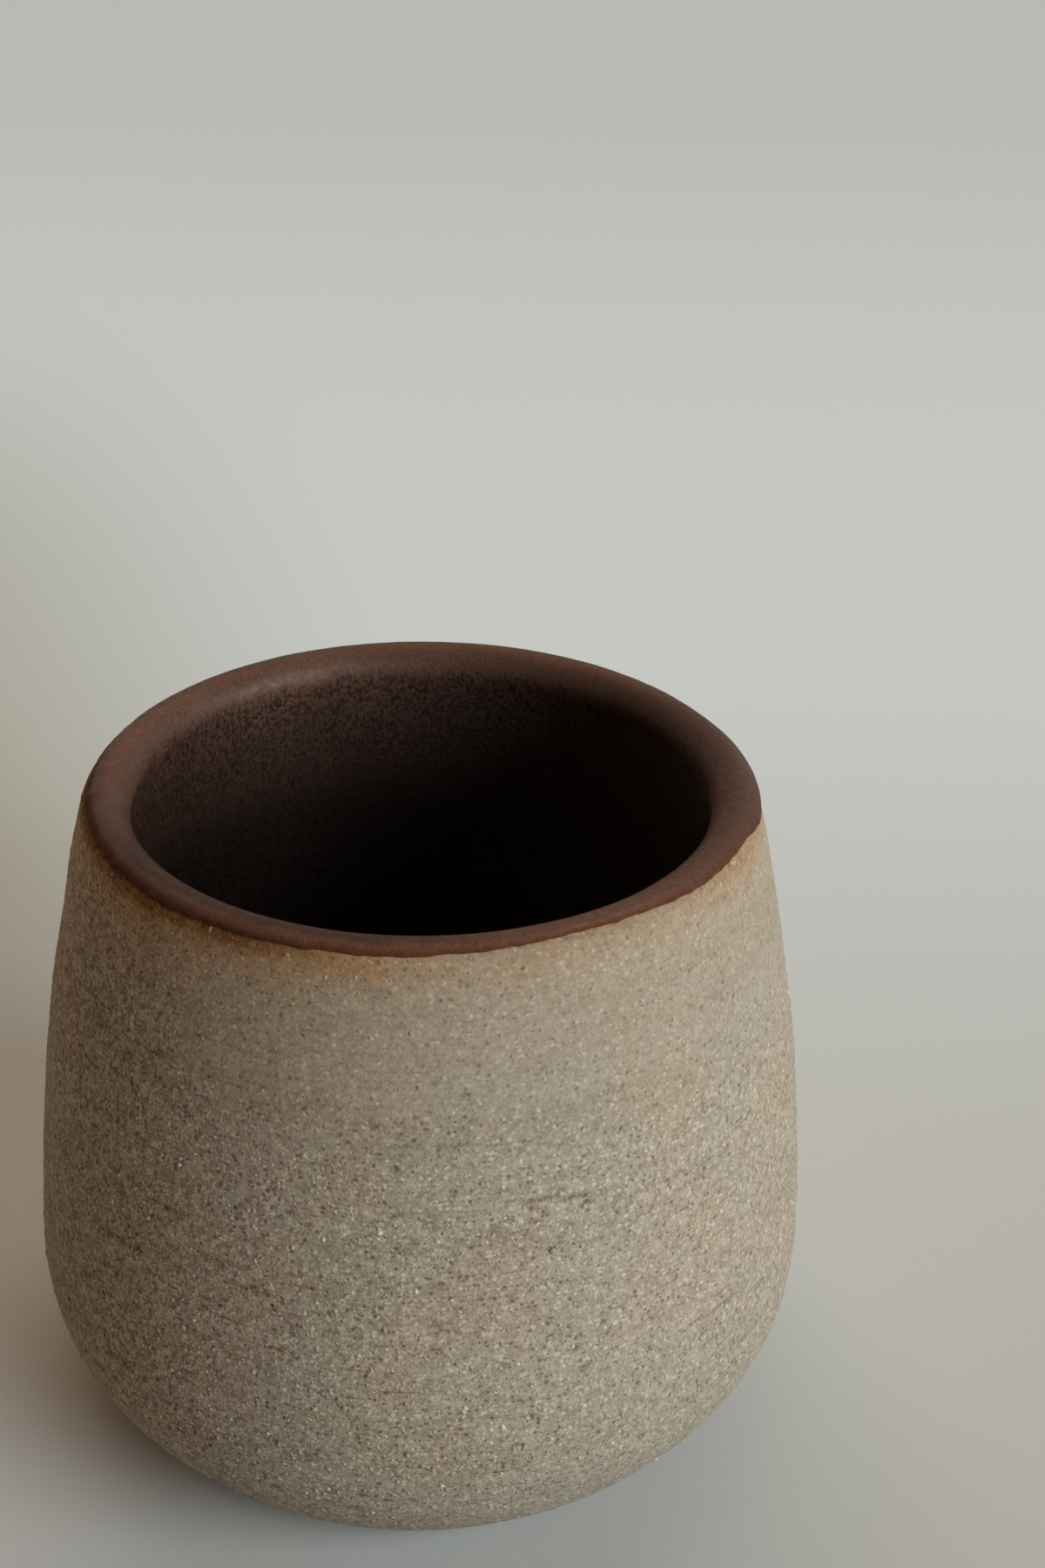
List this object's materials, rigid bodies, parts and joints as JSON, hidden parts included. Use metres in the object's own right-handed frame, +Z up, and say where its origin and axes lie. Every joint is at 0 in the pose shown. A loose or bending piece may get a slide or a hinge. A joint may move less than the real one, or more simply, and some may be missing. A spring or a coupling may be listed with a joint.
{
  "type": "handleless cup",
  "caption": "Handleless drinking cup of coarse speckled stoneware, with a full low belly, a leaning wall, a dark glaze lining and a red-brown glazed lip.",
  "frame": {"origin": "centre of the foot on the standing plane", "axes": "+Z up along the axis of the throw; +Y points away from the viewer of the front"},
  "size_m": [0.091, 0.091, 0.078],
  "materials": {
    "grogged_clay": "bare, coarse and speckled",
    "lining_glaze": "satin, dark brown to black",
    "rim_glaze": "satin, red-brown"
  },
  "bodies": {
    "root": {"clay_body": "grogged_clay", "glaze_lining": "lining_glaze", "glaze_rim": "rim_glaze"}
  },
  "joints": []
}
